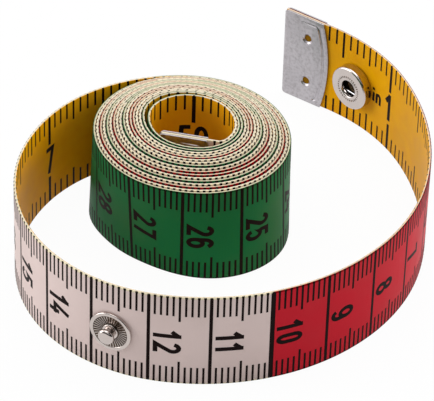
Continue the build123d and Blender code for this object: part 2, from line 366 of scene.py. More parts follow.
def printing_ink():
    paint = Paint("printing_ink", Specular_IOR_Level=0.03)
    place = paint.node("TexCoord", output=3)
    grain = paint.noise(place, 900.0, 3.0)
    base = paint.mix(grain, ink_colour, colour(34, 22, 20))
    paint.set(Base_Color=base, Roughness=0.36 + grain * 0.14)
    return paint.material


def steel(name, tone, low, high, grain_scale, bump, speckle=0.0):
    """Dull or bright steel: its roughness runs from low to high, and wear and specks darken it."""
    paint = Paint(name, Metallic=1.0)
    place = paint.node("TexCoord", output=3)
    grain = paint.noise(place, grain_scale, 4.0, 0.6)
    wear = paint.noise(place, grain_scale / 9, 3.0)
    dark = tuple(0.78 * value for value in tone[:3]) + (1.0,)
    base = paint.mix(wear, dark, tone)
    if speckle:
        base = paint.mix(((grain - 0.45) * speckle).math("MAXIMUM", 0.0), base, colour(96, 88, 86))
    rough = low + (high - low) * grain
    paint.set(Base_Color=base, Roughness=rough, Normal=paint.bump(grain, bump, 0.02 * MM))
    return paint.material


def nickel():
    """Bright nickel, darkened down in its grooves and inside: painted shade, with some brown tarnish."""
    paint = Paint("snap_nickel", Metallic=1.0)
    place = paint.node("TexCoord", output=3)
    shade = paint.node("Attribute", {"attribute_type": "GEOMETRY", "attribute_name": "shade"}, output=2)
    grain = paint.noise(place, 2400.0, 4.0, 0.6)
    wear = paint.noise(place, 300.0, 3.0)
    base = paint.mix(wear, colour(188, 177, 173), colour(208, 198, 192))
    base = paint.mix(shade, base, colour(92, 74, 56))
    rough = 0.13 + 0.14 * grain + 0.25 * shade
    paint.set(Base_Color=base, Roughness=rough, Normal=paint.bump(grain, 0.08, 0.02 * MM))
    return paint.material


# ------------------------------------------------------------------ the ribbon's line
def add_object(name, data):
    made = bpy.data.objects.new(name, data)
    bpy.context.scene.collection.objects.link(made)
    return made


def walk(place, length, bend):
    """The place (x, y, heading) reached along an arc; a bend above 0 turns left."""
    x, y, heading = place
    if bend == 0:
        return x + length * math.cos(heading), y + length * math.sin(heading), heading
    turned = heading + bend * length
    return (
        x + (math.sin(turned) - math.sin(heading)) / bend,
        y - (math.cos(turned) - math.cos(heading)) / bend,
        turned,
    )


coil_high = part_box("tape_coil")[1]
first_radius = coil_radius - wrap_pitch / 4 + coil_oval
junction = (coil_high[0] - half_thickness - first_radius, coil_high[1] - half_thickness)

place = (*junction, math.pi)
for length, radius in loop_stretches:
    place = walk(place, length, 1 / radius)
zero_place = walk(place, clip_straight, 0)

# (length, bend, half turns climbed at its end) from the zero end inwards
line_stretches = [(clip_straight, 0.0, 0.0)]
line_stretches += [(length, -1 / radius, 0.0) for length, radius in reversed(loop_stretches)]
for quarter in range(1, quarter_turns + 1):
    radius = coil_radius - quarter * wrap_pitch / 4 + (coil_oval if quarter % 2 else -coil_oval)
    if quarter > quarter_turns - 4 and quarter % 2:
        radius -= core_standoff
    line_stretches.append((radius * math.pi / 2, -1 / radius, quarter / 2))
core_radius = coil_radius - quarter_turns * wrap_pitch / 4
lead_radius = core_radius - wrap_pitch / 4 - coil_oval
line_stretches.append((core_lead * lead_radius, -1 / lead_radius, quarter_turns / 2))
line_stretches.append((core_bend * core_bend_radius, -1 / core_bend_radius, quarter_turns / 2))
line_stretches.append((core_straight, 0.0, quarter_turns / 2))
loop_length = clip_straight + sum(length for length, radius in loop_stretches)
tape_length = sum(length for length, bend, halves in line_stretches)


def climb(halves):
    """Height of the ribbon's foot after this many half turns of the coil."""
    steps = max(halves - level_halves, 0)
    if steps < steep_halves:
        return steep_rise * steps / steep_halves
    all_steps = quarter_turns / 2 - level_halves
    share = (steps - steep_halves) / (all_steps - steep_halves)
    return steep_rise + (core_rise - steep_rise) * min(share, 1)


def lay_line():
    """The ribbon's middle as a Bezier curve of tangent arcs, from the zero end to the core."""
    knots = [[(zero_place[0], zero_place[1], zero_place[2] + math.pi), 0.0, 0.0, 0.0]]
    halves = 0.0
    for length, bend, halves_after in line_stretches:
        parts = max(1, math.ceil(abs(bend) * length / (math.pi / 4) - 0.001))
        step = length / parts
        handle = step / 3 if bend == 0 else 4 / 3 * math.tan(abs(bend) * step / 4) / abs(bend)
        for part in range(1, parts + 1):
            knots[-1][3] = handle
            where = walk(knots[-1][0], step, bend)
            height = climb(halves + (halves_after - halves) * part / parts)
            knots.append([where, height, handle, 0.0])
        halves = halves_after
    curve = bpy.data.curves.new("ribbon_line", "CURVE")
    curve.dimensions = "3D"
    curve.twist_mode = "Z_UP"
    curve.resolution_u = 24
    spline = curve.splines.new("BEZIER")
    spline.bezier_points.add(len(knots) - 1)
    for number, ((where, height, before, after), knot) in enumerate(zip(knots, spline.bezier_points)):
        x, y, heading = where
        ahead = Vector((math.cos(heading), math.sin(heading), 0))
        middle = Vector((x, y, height))
        last, following = knots[max(number - 1, 0)][1], knots[min(number + 1, len(knots) - 1)][1]
        knot.handle_left_type = knot.handle_right_type = "FREE"
        knot.co = middle
        knot.handle_left = middle - ahead * before + Vector((0, 0, (last - height) / 3))
        knot.handle_right = middle + ahead * after + Vector((0, 0, (following - height) / 3))
    return add_object("ribbon_line", curve)


ribbon_line = lay_line()

ribbon_material = printed_ribbon()
ink_material = printing_ink()
clip_material = steel("clip_steel", colour(195, 190, 194), 0.30, 0.46, 1900.0, 0.5, 1.3)
nickel_material = nickel()
spring_material = steel("spring_steel", colour(206, 206, 210), 0.10, 0.2, 1600.0, 0.05)


# ------------------------------------------------------------------ making pieces
def make_active(piece):
    bpy.ops.object.select_all(action="DESELECT")
    piece.select_set(True)
    bpy.context.view_layer.objects.active = piece


def settle(piece):
    """Put the piece's place and size into its mesh."""
    make_active(piece)
    bpy.ops.object.transform_apply(location=True, rotation=True, scale=True)


def close_up(piece):
    """Merge doubled points and turn the faces outwards."""
    make_active(piece)
    bpy.ops.object.mode_set(mode="EDIT")
    bpy.ops.mesh.select_all(action="SELECT")
    bpy.ops.mesh.remove_doubles(threshold=0.002 * MM)
    bpy.ops.mesh.normals_make_consistent(inside=False)
    bpy.ops.object.mode_set(mode="OBJECT")


def apply_modifier(piece, kind, **settings):
    make_active(piece)
    modifier = piece.modifiers.new("work", kind)
    for setting, value in settings.items():
        setattr(modifier, setting, value)
    bpy.ops.object.modifier_apply(modifier=modifier.name)


def soften(piece, width, angle):
    """Round the edges that turn by more than this angle in degrees."""
    limit = math.radians(angle)
    apply_modifier(piece, "BEVEL", width=width, segments=3, limit_method="ANGLE", angle_limit=limit)


def cut_away(piece, cutter, operation="DIFFERENCE"):
    """Cut a piece with another one, which is used up."""
    apply_modifier(piece, "BOOLEAN", object=cutter, operation=operation, solver="EXACT")
    bpy.data.objects.remove(cutter)


def points_of(piece):
    co = np.zeros(len(piece.data.vertices) * 3)
    piece.data.vertices.foreach_get("co", co)
    return co.reshape(-1, 3)


def select_edges(piece, test):
    """Select the edges whose two end points pass the test, and go to edit mode."""
    make_active(piece)
    co = points_of(piece)
    pairs = np.zeros(len(piece.data.edges) * 2, int)
    piece.data.edges.foreach_get("vertices", pairs)
    pairs = pairs.reshape(-1, 2)
    chosen = test(co[pairs[:, 0]], co[pairs[:, 1]])
    bpy.ops.object.mode_set(mode="EDIT")
    bpy.ops.mesh.select_mode(type="EDGE")
    bpy.ops.mesh.select_all(action="DESELECT")
    bpy.ops.object.mode_set(mode="OBJECT")
    piece.data.edges.foreach_set("select", chosen)
    bpy.ops.object.mode_set(mode="EDIT")


def select_faces(piece, test):
    """Select the faces that pass the test, and go to edit mode."""
    make_active(piece)
    bpy.ops.object.mode_set(mode="EDIT")
    bpy.ops.mesh.select_mode(type="FACE")
    bpy.ops.mesh.select_all(action="DESELECT")
    bpy.ops.object.mode_set(mode="OBJECT")
    for face in piece.data.polygons:
        face.select = test(face)
    bpy.ops.object.mode_set(mode="EDIT")


def bend_along_line(piece):
    apply_modifier(piece, "CURVE", object=ribbon_line, deform_axis="POS_X")


def ease_coil(piece, from_zero):
    """Let the wound wraps spread and lean a little, as a coil wound by hand does."""
    place = points_of(piece)
    middle = np.array([junction[0], junction[1] - coil_radius])
    across = place[:, :2] - middle
    reach = np.hypot(across[:, 0], across[:, 1])
    way = np.degrees(np.arctan2(across[:, 1], across[:, 0]))
    up = np.clip(place[:, 2] / tape_width, 0, 1.2)
    spread = 0
    for direction, width, foot, top in coil_leans:
        turn = ((way - direction + 180) % 360 - 180) / width
        spread = spread + np.exp(-turn * turn) * ((1 - up) * foot + up * top)
    fade = np.clip((from_zero - loop_length) / (coil_radius * math.pi / 2), 0, 1)
    fade *= np.clip((tape_length - core_hold - from_zero) / core_hold, 0, 1)
    shift = spread * MM * fade * fade * (3 - 2 * fade) * reach / coil_radius
    place[:, :2] += across / np.maximum(reach, MM)[:, None] * shift[:, None]
    piece.data.vertices.foreach_set("co", place.ravel())
    piece.data.update()


def name_piece(piece, name, material, smooth=30):
    piece.name = piece.data.name = name
    piece.data.materials.clear()
    piece.data.materials.append(material)
    make_active(piece)
    bpy.ops.object.shade_smooth_by_angle(angle=math.radians(smooth))
    return piece


def copy_piece(piece):
    """A twin of a piece with its own mesh."""
    twin = piece.copy()
    twin.data = piece.data.copy()
    bpy.context.scene.collection.objects.link(twin)
    return twin


def join_pieces(pieces):
    make_active(pieces[0])
    for piece in pieces:
        piece.select_set(True)
    bpy.ops.object.join()
    return pieces[0]


# ------------------------------------------------------------------ the ribbon
def flat_ribbon(start, end):
    """A flat length of ribbon with rounded long edges, divided so that it can bend."""
    bpy.ops.mesh.primitive_cube_add(size=1, location=((start + end) / 2, 0, tape_width / 2))
    ribbon = bpy.context.object
    ribbon.scale = (end - start, tape_thickness, tape_width)
    settle(ribbon)

    def runs_along(first, last):
        return np.abs(first[:, 0] - last[:, 0]) > 1e-6

    select_edges(ribbon, runs_along)
    bpy.ops.mesh.bevel(offset=corner_round, segments=3, affect="EDGES")
    bpy.ops.object.mode_set(mode="OBJECT")
    select_edges(ribbon, lambda first, last: np.abs(first[:, 2] - last[:, 2]) > tape_width / 2)
    bpy.ops.mesh.subdivide(number_cuts=width_cuts)
    bpy.ops.object.mode_set(mode="OBJECT")
    cells = (end - start) / ribbon_cell
    passes = 1 if cells < cells_in_one_pass else 2
    for _ in range(passes):
        select_edges(ribbon, runs_along)
        bpy.ops.mesh.subdivide(number_cuts=max(1, round(cells ** (1 / passes)) - 1))
        bpy.ops.object.mode_set(mode="OBJECT")
    return ribbon


def punch(ribbon, from_zero):
    """Punch a rivet hole through the flat ribbon."""
    bpy.ops.mesh.primitive_cylinder_add(
        vertices=40,
        radius=rivet_hole_radius,
        depth=4 * tape_thickness,
        location=(from_zero, 0, snap_height),
        rotation=(math.pi / 2, 0, 0),
    )
    cut_away(ribbon, bpy.context.object)


def keep_flat_place(ribbon):
    """Store the flat place of each point, which the printed colours follow."""
    flat = ribbon.data.attributes.new("flat_place", "FLOAT_VECTOR", "POINT")
    flat.data.foreach_set("vector", points_of(ribbon).ravel())


# ------------------------------------------------------------------ printed marks
def bars(x, width, low, length, side, rows):
    """A printed bar on one face, repeated by each (step, count) in turn."""
    bpy.ops.mesh.primitive_cube_add(size=1, location=(x, side * half_thickness, low + length / 2))
    bar = bpy.context.object
    bar.scale = (width, 2 * ink_proud, length)
    settle(bar)
    for step, count in rows:
        apply_modifier(
            bar,
            "ARRAY",
            count=count,
            use_relative_offset=False,
            use_constant_offset=True,
            constant_offset_displace=step,
        )
    return bar


def edge_ticks(x, tick, side, rows):
    """Ticks at the lower and the upper edge of the ribbon."""
    width, low_length, top_length = tick
    lower = bars(x, width, ink_edge, low_length, side, rows)
    upper = bars(x, width, tape_width - ink_edge - top_length, top_length, side, rows)
    return join_pieces([lower, upper])


def metric_marks():
    """The centimetre face: one centimetre's marks, repeated along the ribbon."""
    every = ((centimetre, 0, 0), int(tape_length / centimetre) + 1)
    every_ten = (10 * centimetre, 0, 0)
    full = tape_width - 2 * ink_edge
    return [
        edge_ticks(MM, millimetre_tick, 1, [((MM, 0, 0), 4), ((centimetre / 2, 0, 0), 2), every]),
        edge_ticks(centimetre / 2, five_millimetre_tick, 1, [every]),
        bars(centimetre, centimetre_bar, ink_edge, full, 1, [((centimetre, 0, 0), 9), (every_ten, 16)]),
        bars(10 * centimetre, ten_centimetre_bar, ink_edge, full, 1, [(every_ten, 15)]),
    ]


def inch_marks():
    """The inch face: one inch's marks, repeated along the ribbon."""
    every = ((inch, 0, 0), int(tape_length / inch) + 1)
    return [
        edge_ticks(inch / 16, sixteenth_tick, -1, [((inch / 16, 0, 0), 3), ((inch / 4, 0, 0), 4), every]),
        edge_ticks(inch / 4, quarter_tick, -1, [((inch / 2, 0, 0), 2), every]),
        edge_ticks(inch / 2, half_tick, -1, [every]),
        edge_ticks(inch, inch_tick, -1, [every]),
    ]


def arc(middle, reach, start, end):
    """Points on an arc of an oval, by degrees, in a figure's own unit box."""
    count = max(4, round(abs(end - start) / 18))
    turns = [math.radians(start + (end - start) * step / count) for step in range(count + 1)]
    return [
        (middle[0] + reach[0] * math.cos(turn), middle[1] + reach[1] * math.sin(turn)) for turn in turns
    ]


# each figure's strokes, across 0 to 1 and up 0 to 1 between the middles of its outer strokes
six = [arc((0.5, 0.72), (0.5, 0.28), 28, 180) + arc((0.5, 0.31), (0.5, 0.31), 180, 540)]
figure_strokes = {
    "0": [
        arc((0.44, 0.72), (0.44, 0.28), 0, 180) + arc((0.44, 0.28), (0.44, 0.28), 180, 360) + [(0.88, 0.72)]
    ],
    "1": [[(0.39, 1.1), (0.39, -0.1)], [(-0.25, 0.70), (0.39, 1.0)]],
    "2": [arc((0.5, 0.74), (0.5, 0.26), 165, -25) + [(0.0, 0.0), (1.2, 0.0)]],
    "3": [arc((0.46, 0.765), (0.44, 0.235), 155, -90), arc((0.46, 0.265), (0.54, 0.265), 90, -160)],
    "4": [[(0.56, 1.1), (-0.12, 0.25), (1.22, 0.25)], [(0.80, 0.52), (0.80, -0.1)]],
    "5": [[(1.1, 1.0), (0.14, 1.0), (0.06, 0.55)] + arc((0.46, 0.32), (0.54, 0.32), 128, -155)],
    "6": six,
    "7": [[(-0.15, 1.0), (1.0, 1.0), (0.34, -0.1)]],
    "8": [arc((0.5, 0.77), (0.46, 0.23), 0, 360), arc((0.5, 0.27), (0.55, 0.27), 0, 360)],
    "9": [[(1.05 - 1.1 * across, 1 - up) for across, up in stroke] for stroke in six],
    "i": [[(0.5, -0.12), (0.5, 0.66)], [(0.5, 0.86), (0.5, 1.08)]],
    "n": [
        [(0.0, -0.12), (0.0, 0.72)],
        [(0.0, 0.42)] + arc((0.5, 0.42), (0.5, 0.26), 150, 0) + [(1.0, -0.12)],
    ],
}
# how much of the usual step from figure to figure a narrow one takes
figure_steps = {"0": 0.93, "1": 0.885, "7": 0.96, "i": 0.86}


def make_figure(strokes, width, height, stroke_width):
    """A flat figure made of strokes, lying in the XY plane with its lower left at the origin."""
    curve = bpy.data.curves.new("figure", "CURVE")
    curve.dimensions = "2D"
    curve.fill_mode = "NONE"
    curve.bevel_depth = stroke_width / 2
    curve.bevel_resolution = 0
    curve.use_fill_caps = True
    across, up = width - stroke_width, height - stroke_width
    for stroke in strokes:
        points = []
        for first, last in zip(stroke, stroke[1:]):
            first, last = (Vector((x * across, y * up, 0)) for x, y in (first, last))
            cuts = max(1, math.ceil((last - first).length / stroke_cell))
            points += [first.lerp(last, cut / cuts) for cut in range(cuts)]
        closed = (Vector(stroke[0]) - Vector(stroke[-1])).length < 0.001
        if not closed:
            points.append(last)
        spline = curve.splines.new("POLY")
        spline.points.add(len(points) - 1)
        spline.use_cyclic_u = closed
        for point, (x, y, z) in zip(spline.points, points):
            point.co = (x + stroke_width / 2, y + stroke_width / 2, 0, 1)
    make_active(add_object("figure", curve))
    bpy.ops.object.convert(target="MESH")
    figure = bpy.context.object
    close_up(figure)
    figure.scale = (1, 1, 0.8 * ink_proud / (stroke_width / 2))
    settle(figure)
    return figure


def make_figure_set(texts, width, height, stroke_width):
    return {text: make_figure(figure_strokes[text], width, height, stroke_width) for text in texts}


def write(figures, text, pitch, turn):
    """Copies of the figures of a text, set side by side, centred, and put in place by a matrix."""
    made = []
    steps = [figure_steps.get(letter, 1.0) for letter in text]
    across = -sum(steps) / 2
    for letter, step in zip(text, steps):
        copy = copy_piece(figures[letter])
        copy.data.transform(turn @ Matrix.Translation((across * pitch, 0, 0)))
        made.append(copy)
        across += step
    return made


def number_marks():
    """The figures: centimetres read down the ribbon's width, inches along it, and the unit mark."""
    pieces = []
    lift = half_thickness + 0.4 * ink_proud
    width, height, stroke, gap = metric_figure
    metric = make_figure_set("0123456789", width, height, stroke)
    down_the_width = Matrix(((0, -1, 0, 0), (0, 0, 1, 0), (-1, 0, 0, 0), (0, 0, 0, 1)))
    for number in range(2, int(tape_length / centimetre) + 1):
        x = number * centimetre - metric_before_line
        # the first white band is printed lower than the others
        low = white_below_middle if 10 < number < 20 else metric_below_middle
        turn = Matrix.Translation((x, lift, tape_width / 2 - gap / 2 - low)) @ down_the_width
        pieces += write(metric, str(number), width + gap, turn)
    width, height, stroke, gap = inch_figure
    imperial = make_figure_set("0123456789", width, height, stroke)
    upright = Matrix(((1, 0, 0, 0), (0, 0, -1, 0), (0, 1, 0, 0), (0, 0, 0, 1)))
    for number in range(1, int((tape_length - mark_start) / inch) + 1):
        turn = Matrix.Translation((number * inch + gap / 2, -lift, inch_figure_foot)) @ upright
        pieces += write(imperial, str(number), width + gap, turn)
    width, height, stroke, gap = unit_figure
    small = make_figure_set("in", width, height, stroke)
    turn = Matrix.Translation((unit_place[0], -lift, unit_place[1])) @ upright
    pieces += write(small, "in", width + gap, turn)
    for figures in (metric, imperial, small):
        for figure in figures.values():
            bpy.data.objects.remove(figure)
    return pieces


def delete_outside(piece, start, end):
    """Delete the loose marks of a piece that lie before start or after end."""
    x = points_of(piece)[:, 0]
    make_active(piece)
    bpy.ops.object.mode_set(mode="EDIT")
    bpy.ops.mesh.select_mode(type="VERT")
    bpy.ops.mesh.select_all(action="DESELECT")
    bpy.ops.object.mode_set(mode="OBJECT")
    piece.data.vertices.foreach_set("select", (x < start) | (x > end))
    bpy.ops.object.mode_set(mode="EDIT")
    bpy.ops.mesh.delete(type="VERT")
    bpy.ops.object.mode_set(mode="OBJECT")


all_ink = join_pieces(metric_marks() + inch_marks() + number_marks())

# stretches of ribbon: name, distance from the zero end, the body it lies on and the next one, and the
# distances between which it would turn from the one to the other, read but not used; only a stretch with no
# next body is hung on its body
spans = [
    ("coil", 192.5, tape_length / MM, "coil", None, 0, 0, ["tape_coil"]),
    ("flex_1", 162.5, 192.5, "coil", "span_1", 192.5, 163.5, ["tape_span_1"]),
    ("flex_2", 122.5, 162.5, "span_1", "span_2", 162.0, 134.0, ["tape_span_2"]),
    ("flex_3", 103.5, 122.5, "span_2", "span_3", 122.5, 113.5, ["tape_span_3"]),
    ("flex_4", 72.5, 103.5, "span_3", "span_4", 103.5, 76.5, ["tape_span_4"]),
    ("flex_5", 42.5, 72.5, "span_4", "span_5", 72.5, 47.5, ["tape_span_5"]),
    ("flex_6", 0.0, 42.5, "span_5", "span_6", 36.5, 23.5, ["tape_span_6"]),
]


def line_place(from_zero):
    """The place (x, y, heading) on the ribbon's line at this distance from the zero end."""
    place = (zero_place[0], zero_place[1], zero_place[2] + math.pi)
    for length, bend, halves in line_stretches:
        part = min(length, from_zero)
        place = walk(place, part, bend)
        from_zero -= part
        if from_zero <= 0:
            break
    return place


for name, start, end, body, next_body, blend_from, blend_to, nodes in spans:
    start, end = start * MM, end * MM
    ribbon = flat_ribbon(max(start, ribbon_end_gap), end)
    for from_zero in (socket_from_zero, stud_from_zero):
        if start < from_zero < end:
            punch(ribbon, from_zero)
    keep_flat_place(ribbon)
    ink = copy_piece(all_ink)
    delete_outside(ink, max(start, mark_start), min(end, tape_length - mark_start))
    for piece, kind, material in ((ribbon, "ribbon", ribbon_material), (ink, "ink", ink_material)):
        from_zero = points_of(piece)[:, 0]
        bend_along_line(piece)
        if name == "coil":
            ease_coil(piece, from_zero)
        name_piece(piece, f"{kind}_{name}", material)
        if next_body is None:
            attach(piece, body)
        else:
            first, last = line_place(blend_from * MM), line_place(blend_to * MM)
            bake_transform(piece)
    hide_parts(*nodes)
    end - start

bpy.data.objects.remove(all_ink)
bpy.data.objects.remove(ribbon_line)


# ------------------------------------------------------------------ folded clips
def box_between(low, high):
    middle = [(first + last) / 2 for first, last in zip(low, high)]
    bpy.ops.mesh.primitive_cube_add(size=1, location=middle)
    box = bpy.context.object
    box.scale = [last - first for first, last in zip(low, high)]
    settle(box)
    return box


def far_edge(inset):
    """The crowned far edge at this inset: half its width, its length and the radius of its arc."""
    half = tape_width / 2 - inset
    crown, side = clip_middle_length - inset, clip_side_length - inset
    return half, crown, ((crown - side) ** 2 + half**2) / (2 * (crown - side))


def clip_outline(depth):
    """The clip seen from its side as a solid: rounded at the fold, with a crowned far edge."""
    half, crown, crown_radius = far_edge(0)
    outline = box_between((0, -depth, 0), (crown + MM, depth, 2 * half))

    def on_fold(first, last):
        return (np.maximum(first[:, 0], last[:, 0]) < 1e-6) & (np.abs(first[:, 1] - last[:, 1]) > depth)

    select_edges(outline, on_fold)
    bpy.ops.mesh.bevel(offset=clip_corner, segments=8, affect="EDGES")
    bpy.ops.object.mode_set(mode="OBJECT")
    bpy.ops.mesh.primitive_cylinder_add(
        vertices=360,
        radius=crown_radius,
        depth=4 * depth,
        location=(crown - crown_radius, 0, tape_width / 2),
        rotation=(math.pi / 2, 0, 0),
    )
    disc = bpy.context.object
    settle(disc)
    cut_away(outline, disc, "INTERSECT")
    return outline


def rim_line(side):
    """A round bar along the rim of one of the clip's plates, that fades out towards the fold."""
    half, crown, crown_radius = far_edge(rim_line_inset)
    crown_middle = crown - crown_radius
    turn = math.asin((half - clip_corner) / (crown_radius - clip_corner))
    corner_middle = crown_middle + (crown_radius - clip_corner) * math.cos(turn)
    # along the clip, up from its middle, and share of the bar's thickness
    route = [
        (rim_line_start, half, 0.0),
        (rim_line_full, half, 0.7),
        (corner_middle - 0.4 * clip_corner, half, 1.0),
    ]
    for step in range(7):
        angle = math.pi / 2 + (turn - math.pi / 2) * step / 6
        x = corner_middle + clip_corner * math.cos(angle)
        route.append((x, half + clip_corner * (math.sin(angle) - 1), 1.0))
    for step in range(-7, 1):
        angle = -turn * step / 8
        route.append((crown_middle + crown_radius * math.cos(angle), crown_radius * math.sin(angle), 1.0))
    for x, up, size in reversed(route[:-1]):
        route.append((x, -up, size if x > corner_middle else rim_line_low_share * size))
    curve = bpy.data.curves.new("rim_line", "CURVE")
    curve.dimensions = "3D"
    curve.bevel_depth = rim_line_bar / 2
    curve.bevel_resolution = 3
    curve.use_fill_caps = True
    spline = curve.splines.new("NURBS")
    spline.points.add(len(route) - 1)
    spline.order_u = 3
    spline.use_endpoint_u = True
    for point, (x, up, size) in zip(spline.points, route):
        point.co = (x, side * (clip_nose + rim_line_stand_off), tape_width / 2 + up, 1)
        point.radius = max(size, 0.05)
    make_active(add_object("rim_line", curve))
    bpy.ops.object.convert(target="MESH")
    close_up(bpy.context.object)
    return bpy.context.object


def make_clip():
    """A clip with its fold at x = 0 round the ribbon's end, its height along z."""
    inside = clip_nose - clip_sheet
    reach = clip_middle_length + MM
    clip = box_between((clip_nose, inside, 0), (reach, clip_nose, tape_width))
    select_faces(clip, lambda face: face.normal.x < -0.9)
    bpy.ops.mesh.spin(steps=16, angle=-math.pi, center=(clip_nose, 0, 0), axis=(0, 0, 1))
    bpy.ops.mesh.extrude_region_move(TRANSFORM_OT_translate={"value": (reach - clip_nose, 0, 0)})
    bpy.ops.object.mode_set(mode="OBJECT")
    close_up(clip)
    cut_away(clip, clip_outline(2 * clip_nose), "INTERSECT")
    for side in (-1, 1):
        cut_away(clip, rim_line(side))
        for way in (-1, 1):
            height = (tape_width + way * clip_hole_spread) / 2
            bpy.ops.mesh.primitive_cone_add(
                vertices=40,
                radius1=dimple_mouth,
                radius2=dimple_floor,
                depth=dimple_depth,
                location=(clip_hole_from_fold, side * (clip_nose - dimple_sink), height),
                rotation=(side * math.pi / 2, 0, 0),
            )
            dimple = bpy.context.object
            settle(dimple)
            cut_away(clip, dimple)
    soften(clip, clip_edge_round, 35)
    return clip


def put_clip(clip, tip, towards_ribbon, height):
    """Turn and move a clip so that its fold lies at the tip, at this height."""
    turn = Matrix.Translation((tip[0], tip[1], height)) @ Matrix.Rotation(towards_ribbon, 4, "Z")
    clip.data.transform(turn)
    return clip


first_clip = make_clip()
second_clip = copy_piece(first_clip)
end_clip = put_clip(first_clip, zero_place, zero_place[2] + math.pi, 0)
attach(name_piece(end_clip, "end_clip_formed", clip_material, smooth=20), "span_6")
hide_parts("end_clip")
core_end = line_place(tape_length)
core_clip = put_clip(second_clip, walk(core_end, clip_nose, 0), core_end[2] + math.pi, core_rise)
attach(name_piece(core_clip, "core_clip_formed", clip_material, smooth=20), "coil")
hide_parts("core_clip")


# ------------------------------------------------------------------ press stud and socket
def turned(outline, closed=False, count=96):
    """A piece turned about Z: a disc, or a closed ring, drawn out along (radius, height) steps in mm."""
    (first_radius, first_height), steps = outline[0], list(outline[1:])
    if closed:
        steps.append(outline[0])
    bpy.ops.mesh.primitive_circle_add(
        vertices=count,
        radius=first_radius * MM,
        fill_type="NOTHING" if closed else "NGON",
        location=(0, 0, first_height * MM),
    )
    piece = bpy.context.object
    settle(piece)
    bpy.ops.object.mode_set(mode="EDIT")
    bpy.ops.mesh.select_mode(type="VERT")
    bpy.ops.mesh.select_all(action="SELECT")
    radius, height = first_radius, first_height
    for next_radius, next_height in steps:
        rise = (0, 0, (next_height - height) * MM)
        bpy.ops.mesh.extrude_region_move(TRANSFORM_OT_translate={"value": rise})
        change = next_radius / radius
        bpy.ops.transform.resize(value=(change, change, 1), center_override=(0, 0, next_height * MM))
        radius, height = next_radius, next_height
    bpy.ops.object.mode_set(mode="OBJECT")
    close_up(piece)
    return piece


def quarter_round(middle, radius, start, end, steps=5):
    """Outline points round a corner, by degrees."""
    turns = [math.radians(start + (end - start) * step / steps) for step in range(steps + 1)]
    return [(middle[0] + radius * math.cos(turn), middle[1] + radius * math.sin(turn)) for turn in turns]


def store_shade(piece, shade):
    """Keep the painted shade at each point: 0 in the open, 1 down in the grooves and inside, where the
    finish is drawn dark.
    """
    layer = piece.data.attributes.new("shade", "FLOAT", "POINT")
    layer.data.foreach_set("value", shade)


def press_between(piece, inner, outer, low, high, count, depth):
    """Press in, or with a depth above 0 raise, every other face of a ring on a turned piece."""

    def every_other(face):
        middle = face.center / MM
        step = math.atan2(middle.y, middle.x) / (math.pi / count)
        in_ring = inner < middle.xy.length < outer and low < middle.z < high
        return in_ring and math.floor(step) % 2 == 0

    select_faces(piece, every_other)
    bpy.ops.mesh.inset(thickness=inset_border * MM, depth=depth * MM, use_individual=True)
    bpy.ops.object.mode_set(mode="OBJECT")


def make_stud():
    """Flange with a rolled rim and a ribbed dish, and a neck in a shiny collar under a domed head."""
    outline = [(3.60, 0.0), (3.70, 0.06), (3.70, 0.28)]
    outline += quarter_round((3.50, 0.30), 0.20, 0, 90, 4)
    outline += [(3.22, 0.50)] + quarter_round((3.19, 0.34), 0.16, 90, 170, 3)
    outline += [(dish_outer, dish_edge), (dish_inner, dish_floor), (1.42, dish_floor)]
    outline += quarter_round((1.22, 0.36), 0.20, -20, 90, 4)
    outline += [(1.02, 0.60), (0.98, 0.80), (0.98, 1.34), (1.06, 1.44), (1.24, 1.52)]
    outline += quarter_round((1.24, 1.68), 0.16, -60, 20, 3)
    outline += [(1.395, 1.88), (1.35, 2.04), (1.24, 2.18), (1.06, 2.29)]
    outline += [(0.80, 2.36), (0.44, 2.395), (0.1, 2.40)]
    stud = turned(outline, count=2 * dish_ribs)
    press_between(stud, dish_inner, dish_outer, 0.0, 0.35, dish_ribs, rib_rise)
    # painted shade: the dish is drawn dark between its ribs and less dark on their tops
    points = points_of(stud) / MM
    reach = np.hypot(points[:, 0], points[:, 1])
    out = np.clip((reach - dish_inner) / (dish_outer - dish_inner), 0, 1)
    above_floor = points[:, 2] - dish_floor - (dish_edge - dish_floor) * out
    in_dish = (reach < dish_outer + 0.05) & (reach > 1.3) & (points[:, 2] < 0.5)
    store_shade(stud, np.where(in_dish, 1.0 - 0.8 * np.clip(above_floor / 0.12, 0, 1), 0.0))
    return stud


def make_stud_cap(through):
    """Domed cap on the far face and a pin up into the stud's neck."""
    outline = [(3.55, -through), (3.70, -through - 0.06)]
    outline += quarter_round((3.50, -through - 0.10), 0.20, 0, -90, 4)
    outline += [(2.7, -through - 0.30), (2.2, -through - 0.24)]
    outline += [(1.5, -through - 0.20), (0.1, -through - 0.20)]
    cap = turned(outline)
    pin = turned([(0.60, -through - 0.05), (0.60, 1.40), (0.50, 1.50), (0.1, 1.50)], count=48)
    return join_pieces([cap, pin])


def make_socket_cover():
    """Pressed cover: rounded shoulder, a flat face with a ring of pressed dots, and a rolled mouth."""
    outline = [(3.72, 0.02), (socket_radius / MM, 0.02), (socket_radius / MM, 1.30)]
    outline += quarter_round((3.68, 1.36), 0.42, 0, 84, 6)
    outline += [(3.30, cover_top), (dot_outer, cover_top), (dot_inner, cover_top), (2.06, 1.80)]
    outline += quarter_round((1.84, 1.60), 0.26, 80, 180, 6)
    outline += [(1.58, 1.40), (1.60, 1.26), (1.70, 1.22), (1.82, 1.26), (1.86, 1.36), (3.72, 1.36)]
    cover = turned(outline, closed=True, count=2 * dot_count)
    press_between(cover, dot_inner, dot_outer, 1.6, 2.0, dot_count, -dot_depth)
    # painted shade: the pressed dots and the inside are drawn dark
    points = points_of(cover) / MM
    reach = np.hypot(points[:, 0], points[:, 1])
    in_ring = (reach > dot_inner) & (reach < dot_outer)
    in_dot = in_ring & (points[:, 2] > 1.6) & (points[:, 2] < cover_top - 0.02)
    inside = (points[:, 2] < 1.2) & (reach < 3.9)
    store_shade(cover, np.where(in_dot | inside, 1.0, 0.0))
    return cover


